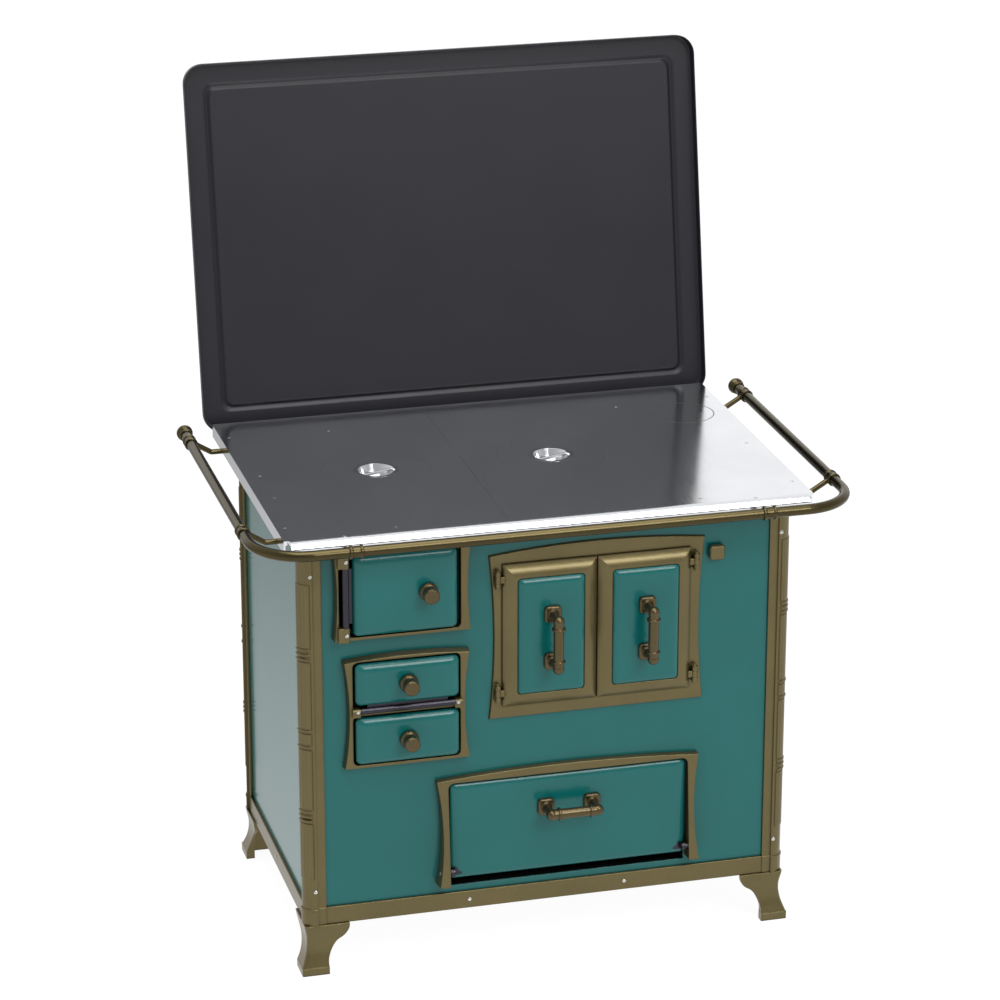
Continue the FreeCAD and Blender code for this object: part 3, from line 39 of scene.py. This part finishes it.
# ---------------------------------------------------------------- materials
class Shader:
    """Short way to write a node material."""

    def __init__(self, name):
        self.mat = bpy.data.materials.new(name)
        self.mat.use_nodes = True
        self.tree = self.mat.node_tree
        self.tree.nodes.clear()
        self.out = self.tree.nodes.new("ShaderNodeOutputMaterial")
        self.bsdf = self.tree.nodes.new("ShaderNodeBsdfPrincipled")
        self.tree.links.new(self.bsdf.outputs[0], self.out.inputs[0])
        self.place = self.tree.nodes.new("ShaderNodeTexCoord").outputs["Object"]

    def add(self, kind, inputs=None, **settings):
        n = self.tree.nodes.new("ShaderNode" + kind)
        for k, v in settings.items():
            setattr(n, k, v)
        for k, v in (inputs or {}).items():
            self.put(n.inputs[k], v)
        return n

    def put(self, socket, value):
        if isinstance(value, bpy.types.NodeSocket):
            self.tree.links.new(value, socket)
        else:
            socket.default_value = value

    def set(self, **values):
        for k, v in values.items():
            self.put(self.bsdf.inputs[k.replace("_", " ")], v)

    def stretched(self, x, y, z):
        return self.add("Mapping", {0: self.place, 3: (x, y, z)}).outputs[0]

    def noise(self, scale, detail=3.0, rough=0.5, where=None):
        return self.add("TexNoise", {"Vector": where or self.place, "Scale": scale,
                                     "Detail": detail, "Roughness": rough}).outputs[0]

    def ramp(self, value, lo, hi, a, b):
        """Maps value from lo..hi to the numbers a..b."""
        return self.add("MapRange", {0: value, 1: lo, 2: hi, 3: a, 4: b}).outputs[0]

    def mix(self, share, a, b):
        """Colours a and b mixed by share."""
        m = self.add("Mix", data_type="RGBA")
        self.put(m.inputs[0], share)
        self.put(m.inputs[6], a)
        self.put(m.inputs[7], b)
        return m.outputs[2]

    def math(self, op, a, b=0.0):
        m = self.add("Math", operation=op)
        self.put(m.inputs[0], a)
        self.put(m.inputs[1], b)
        return m.outputs[0]

    def bump(self, height, strength, distance, normal=None):
        b = self.add("Bump", {"Height": height, "Strength": strength, "Distance": distance})
        if normal is not None:
            self.put(b.inputs["Normal"], normal)
        return b.outputs[0]

    def rounded(self, radius):
        """Normal of the surface with its sharp edges rounded."""
        return self.add("Bevel", {"Radius": radius}, samples=4).outputs[0]

    def edge(self, radius):
        """1 on sharp edges, 0 on flats."""
        g = self.add("NewGeometry")
        b = self.rounded(radius)
        d = self.add("VectorMath", operation="DOT_PRODUCT")
        self.put(d.inputs[0], g.outputs["Normal"])
        self.put(d.inputs[1], b)
        return self.ramp(d.outputs["Value"], 0.995, 0.9, 0.0, 1.0)

    def painted_shade_mask(self, reach):
        """1 in corners and gaps, where painted shade goes; 0 on open faces."""
        ao = self.add("AmbientOcclusion", {"Distance": reach}, samples=6)
        return self.ramp(ao.outputs["AO"], 0.75, 0.2, 0.0, 1.0)


def rgb(r, g, b):
    return (r, g, b, 1.0)


def enamel(name, base, rough, ior, blotch=0.08, reach=0.008):
    """Fired glass coat: even colour, a few pinholes, faint orange peel, and painted shade in corners and
    gaps.
    """
    s = Shader(name)
    cloud = s.noise(6.0, 4.0)
    speck = s.noise(420.0, 2.0)
    deep = rgb(*[c * (1.0 - blotch) for c in base[:3]])
    tone = s.mix(s.ramp(cloud, 0.3, 0.7, 0.0, 1.0), base, deep)
    tone = s.mix(s.ramp(speck, 0.66, 0.8, 0.0, 0.25), tone, rgb(*[c * 0.7 for c in base[:3]]))
    # painted shade: corners and gaps darkened towards 0.15 of the base colour
    tone = s.mix(s.math("MULTIPLY", s.painted_shade_mask(reach), 0.8), tone, rgb(*[c * 0.15 for c in base[:3]]))
    smear = s.noise(9.0, 4.0, 0.5)
    s.set(Base_Color=tone, Roughness=s.ramp(smear, 0.3, 0.7, rough * 0.94, rough * 1.06), IOR=ior)
    peel = s.noise(190.0, 2.0, 0.4)
    s.set(Normal=s.bump(peel, 0.03, 0.0005, s.rounded(0.004)))
    return s.mat


def painted_metal(name, base, dark, light, rough, metallic=0.85, coat=0.4):
    s = Shader(name)
    cloud = s.noise(11.0, 5.0, 0.6)
    grain = s.noise(650.0, 2.0, 0.6)
    tone = s.mix(s.ramp(cloud, 0.3, 0.7, 0.0, 1.0), base, rgb(*[c * 0.86 for c in base[:3]]))
    tone = s.mix(s.ramp(grain, 0.55, 0.85, 0.0, 0.3), tone, light)
    tone = s.mix(s.math("MULTIPLY", s.edge(0.001), s.ramp(cloud, 0.3, 0.7, 0.2, 0.5)), tone, light)
    # painted shade: hollows darkened towards the dark colour, which serves only as this painted shade
    tone = s.mix(s.math("MULTIPLY", s.painted_shade_mask(0.008), 0.85), tone, dark)
    s.set(Base_Color=tone, Metallic=metallic, Coat_Weight=coat, Coat_Roughness=0.2,
          Roughness=s.ramp(grain, 0.3, 0.7, rough * 0.9, rough * 1.1))
    s.set(Normal=s.bump(grain, 0.05, 0.0003, s.rounded(0.003)))
    return s.mat


def bare_metal(name, base, rough, stretch=(1, 1, 1), streak=0.15, scratch=0.04, sharp=False):
    s = Shader(name)
    lines = s.noise(260.0, 3.0, 0.6, s.stretched(*stretch))
    cloud = s.noise(5.0, 4.0, 0.55)
    tone = s.mix(s.ramp(cloud, 0.3, 0.7, 0.0, 1.0), base, rgb(*[c * 0.9 for c in base[:3]]))
    s.set(Base_Color=tone, Metallic=1.0)
    r = s.math("ADD", s.ramp(lines, 0.3, 0.7, -streak * rough, streak * rough),
               s.ramp(cloud, 0.3, 0.7, rough * 0.9, rough * 1.1))
    s.set(Roughness=r, Normal=s.bump(lines, scratch, 0.0003, None if sharp else s.rounded(0.0006)))
    return s.mat


def rough_solid(name, base, dark, rough, scale, depth, metallic=0.0):
    s = Shader(name)
    n = s.noise(scale, 6.0, 0.65)
    big = s.noise(scale * 0.12, 3.0)
    tone = s.mix(s.ramp(n, 0.35, 0.65, 0.0, 1.0), dark, base)
    tone = s.mix(s.ramp(big, 0.4, 0.7, 0.0, 0.4), tone, dark)
    s.set(Base_Color=tone, Roughness=s.ramp(n, 0.3, 0.7, rough, rough * 0.8), Metallic=metallic)
    s.set(Normal=s.bump(n, 0.35, depth, s.rounded(0.0008)))
    return s.mat


teal = enamel("teal_enamel_look", rgb(0.003, 0.112, 0.106), 0.15, 1.42)
charcoal = enamel("lid_enamel_look", rgb(0.008, 0.008, 0.012), 0.38, 1.38, 0.03, 0.02)
black = enamel("dark_lining_look", rgb(0.012, 0.012, 0.013), 0.4, 1.45)
bronze = painted_metal("bronze_paint_look", rgb(0.135, 0.106, 0.042), rgb(0.02, 0.014, 0.007),
                       rgb(0.36, 0.29, 0.13), 0.34, 0.8, 0.2)
brass = painted_metal("antique_brass_look", rgb(0.07, 0.056, 0.026), rgb(0.012, 0.009, 0.004),
                      rgb(0.26, 0.21, 0.11), 0.22, 1.0, 0.0)
brown = painted_metal("handle_brass_look", rgb(0.09, 0.066, 0.028), rgb(0.012, 0.008, 0.004),
                      rgb(0.32, 0.22, 0.11), 0.28, 0.85, 0.2)
steel = bare_metal("polished_steel_look", rgb(0.78, 0.795, 0.82), 0.16, (1, 0.04, 1), sharp=True)
chrome = bare_metal("bright_steel_look", rgb(0.66, 0.67, 0.69), 0.12)
hardware = bare_metal("screw_steel_look", rgb(0.55, 0.54, 0.52), 0.28)
zinc = bare_metal("galvanised_look", rgb(0.42, 0.43, 0.44), 0.45)
dark_rod = bare_metal("dark_rod_look", rgb(0.05, 0.047, 0.058), 0.3)
iron = rough_solid("cast_iron_look", rgb(0.05, 0.05, 0.05), rgb(0.018, 0.018, 0.018), 0.62, 300.0,
                   0.0008, 0.6)
brick = rough_solid("firebrick_look", rgb(0.52, 0.36, 0.22), rgb(0.33, 0.21, 0.12), 0.9, 140.0, 0.0012)

LOOKS = {"teal_enamel": teal, "bronze_paint": bronze, "antique_brass": brass, "lid_enamel": charcoal,
         "polished_steel": steel, "steel_hardware": hardware, "galvanised": zinc, "cast_iron": iron,
         "firebrick": brick}
SPECIAL = {"firebox_knob": brown, "air_flap_knob": brown, "ash_drawer_knob": brown,
           "oven_door_handle_left": brown, "oven_door_handle_right": brown,
           "wood_flap_handle": brown, "damper_knob": bronze, "firebox_door_liner": dark_rod,
           "plug_left": chrome, "plug_right": chrome, "oven_box": black, "wood_box": black,
           "firebox_shell": black}
for name, obj in node.items():
    slots = obj.data.materials
    for i, m in enumerate(slots):
        slots[i] = SPECIAL.get(name) or LOOKS[m.name.split(".")[0]]


def paint_where(obj, mat, chosen):
    """Gives mat to the faces whose centre passes the test."""
    obj.data.materials.append(mat)
    last = len(obj.data.materials) - 1
    for poly in obj.data.polygons:
        if chosen(obj.matrix_world @ poly.center):
            poly.material_index = last


AIR_TUBE_TOP = 0.5225      # the air flap's hinge tube and web end here
FLAP_PIVOT = (-0.337935, 0.1745)
FLAP_MIDDLE = 0.0375
FLAP_KNUCKLE_R = 0.0095
FLAP_KNUCKLE_FROM = 0.2    # from the flap's middle out to where its knuckles start

paint_where(node["air_flap_panel"], dark_rod, lambda c: c.z < AIR_TUBE_TOP)
paint_where(node["wood_flap_panel"], dark_rod,
            lambda c: math.hypot(c.y - FLAP_PIVOT[0], c.z - FLAP_PIVOT[1]) < FLAP_KNUCKLE_R
            and abs(c.x - FLAP_MIDDLE) > FLAP_KNUCKLE_FROM)


# ---------------------------------------------------------------- seam of the flue cover, painted as a dark ring of gap shade
def gap_shade_ring(name, centre, inner, outer, height, mat, steps=96):
    """Thin flat dark ring around a lift-out disc: painted shade of the gap."""
    verts = []
    for k in range(steps):
        t = 2 * math.pi * k / steps
        for r, z in ((inner, 0.0), (outer, 0.0), (outer - height, height), (inner + height, height)):
            verts.append((r * math.cos(t), r * math.sin(t), z))
    faces = []
    for k in range(steps):
        a, b = 4 * k, 4 * ((k + 1) % steps)
        for i in range(4):
            j = (i + 1) % 4
            faces.append((a + i, b + i, b + j, a + j))
    mesh = bpy.data.meshes.new(name)
    mesh.from_pydata(verts, [], faces)
    mesh.update()
    mesh.materials.append(mat)
    obj = bpy.data.objects.new(name, mesh)
    scene.collection.objects.link(obj)
    obj.location = centre
    return obj


def disc_of(obj):
    """Centre of the top of a round node, and its radius."""
    pts = [obj.matrix_world @ v.co for v in obj.data.vertices]
    lo = [min(p[i] for p in pts) for i in range(3)]
    hi = [max(p[i] for p in pts) for i in range(3)]
    return Vector(((lo[0] + hi[0]) / 2, (lo[1] + hi[1]) / 2, hi[2])), (hi[0] - lo[0]) / 2


SEAM_CLEAR = 0.0001
SEAM_WIDTH = 0.0018
SEAM_HEIGHT = 0.00012
centre, radius = disc_of(node["flue_cover"])
# dark colour of the ring: painted shade standing for the gap around the flue cover
gap_shade_look = rough_solid("gap_shade_look", rgb(0.07, 0.072, 0.078), rgb(0.03, 0.03, 0.032), 0.55, 500.0, 0.0001)
seam = gap_shade_ring("flue_cover_seam", centre, radius + SEAM_CLEAR, radius + SEAM_CLEAR + SEAM_WIDTH,
                 SEAM_HEIGHT, gap_shade_look)
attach(seam, "stove")


# ---------------------------------------------------------------- studio
FLOOR_GLOW = 0.94          # pale floor as it is seen, and in front of the stove
FLOOR_GLOW_FAR = 0.4       # what glossy sides mirror of it behind the stove
FADE_FROM = -0.3           # metres along Y where the mirrored floor starts to fade
FADE_TO = 2.2


FLOOR_HALF = 60.0


def floor():
    """Pale floor that glows for the camera, and less for what mirrors it behind the stove."""
    mesh = bpy.data.meshes.new("studio_floor")
    r = FLOOR_HALF
    mesh.from_pydata([(-r, -r, 0), (r, -r, 0), (r, r, 0), (-r, r, 0)], [], [(0, 1, 2, 3)])
    o = bpy.data.objects.new("studio_floor", mesh)
    scene.collection.objects.link(o)
    m = bpy.data.materials.new("studio_floor")
    m.use_nodes = True
    b = m.node_tree.nodes["Principled BSDF"]
    b.inputs["Base Color"].default_value = rgb(0.1, 0.1, 0.1)
    b.inputs["Roughness"].default_value = 0.9
    b.inputs["Specular IOR Level"].default_value = 0.0
    b.inputs["Emission Color"].default_value = rgb(1.0, 1.0, 1.0)
    tree = m.node_tree
    spot = tree.nodes.new("ShaderNodeTexCoord")
    split = tree.nodes.new("ShaderNodeSeparateXYZ")
    fade = tree.nodes.new("ShaderNodeMapRange")
    path = tree.nodes.new("ShaderNodeLightPath")
    pick = tree.nodes.new("ShaderNodeMix")
    tree.links.new(spot.outputs["Object"], split.inputs[0])
    tree.links.new(split.outputs["Y"], fade.inputs[0])
    for socket, value in zip(range(1, 5), (FADE_FROM, FADE_TO, FLOOR_GLOW, FLOOR_GLOW_FAR)):
        fade.inputs[socket].default_value = value
    tree.links.new(path.outputs["Is Camera Ray"], pick.inputs[0])
    tree.links.new(fade.outputs[0], pick.inputs[2])
    pick.inputs[3].default_value = FLOOR_GLOW
    tree.links.new(pick.outputs[0], b.inputs["Emission Strength"])
    mesh.materials.append(m)


floor()

SKY_FRONT = 0.5            # strength of the surroundings in front and behind
SKY_BACK = 1.15


def surroundings():
    """White surroundings, brighter behind the stove than in front of it."""
    world = bpy.data.worlds.new("studio")
    scene.world = world
    world.use_nodes = True
    tree = world.node_tree
    sky = tree.nodes["Background"]
    way = tree.nodes.new("ShaderNodeTexCoord")
    split = tree.nodes.new("ShaderNodeSeparateXYZ")
    fade = tree.nodes.new("ShaderNodeMapRange")
    tree.links.new(way.outputs["Generated"], split.inputs[0])
    tree.links.new(split.outputs["Y"], fade.inputs[0])
    for socket, value in zip(range(1, 5), (-1.0, 1.0, SKY_FRONT, SKY_BACK)):
        fade.inputs[socket].default_value = value
    sky.inputs["Color"].default_value = rgb(1, 1, 1)
    tree.links.new(fade.outputs[0], sky.inputs["Strength"])


surroundings()


def softbox(name, at, target, size, power):
    """Rectangular light at a place, turned to its target."""
    light = bpy.data.lights.new(name, "AREA")
    light.shape = "RECTANGLE"
    light.size, light.size_y = size
    light.energy = power
    o = bpy.data.objects.new(name, light)
    scene.collection.objects.link(o)
    o.location = at
    d = [t - a for t, a in zip(target, at)]
    o.rotation_euler = Vector(d).to_track_quat("-Z", "Y").to_euler()


softbox("top_soft", (0.0, -0.7, 3.9), (0, 0, 0), (2.8, 2.8), 110.0)
softbox("key_soft", (1.5, -4.7, 4.0), (0, 0, 0.6), (2.0, 2.0), 120.0)

LOOKING_DOWN = 20.034      # degrees
TURNED = -15.047

lens = bpy.data.cameras.new("camera")
lens.lens = 135.25
lens.sensor_width = 36.0
camera = bpy.data.objects.new("camera", lens)
camera.location = (-1.69992, -6.31645, 3.14245)
camera.rotation_euler = (math.radians(90 - LOOKING_DOWN), 0.0, math.radians(TURNED))
scene.collection.objects.link(camera)
scene.camera = camera
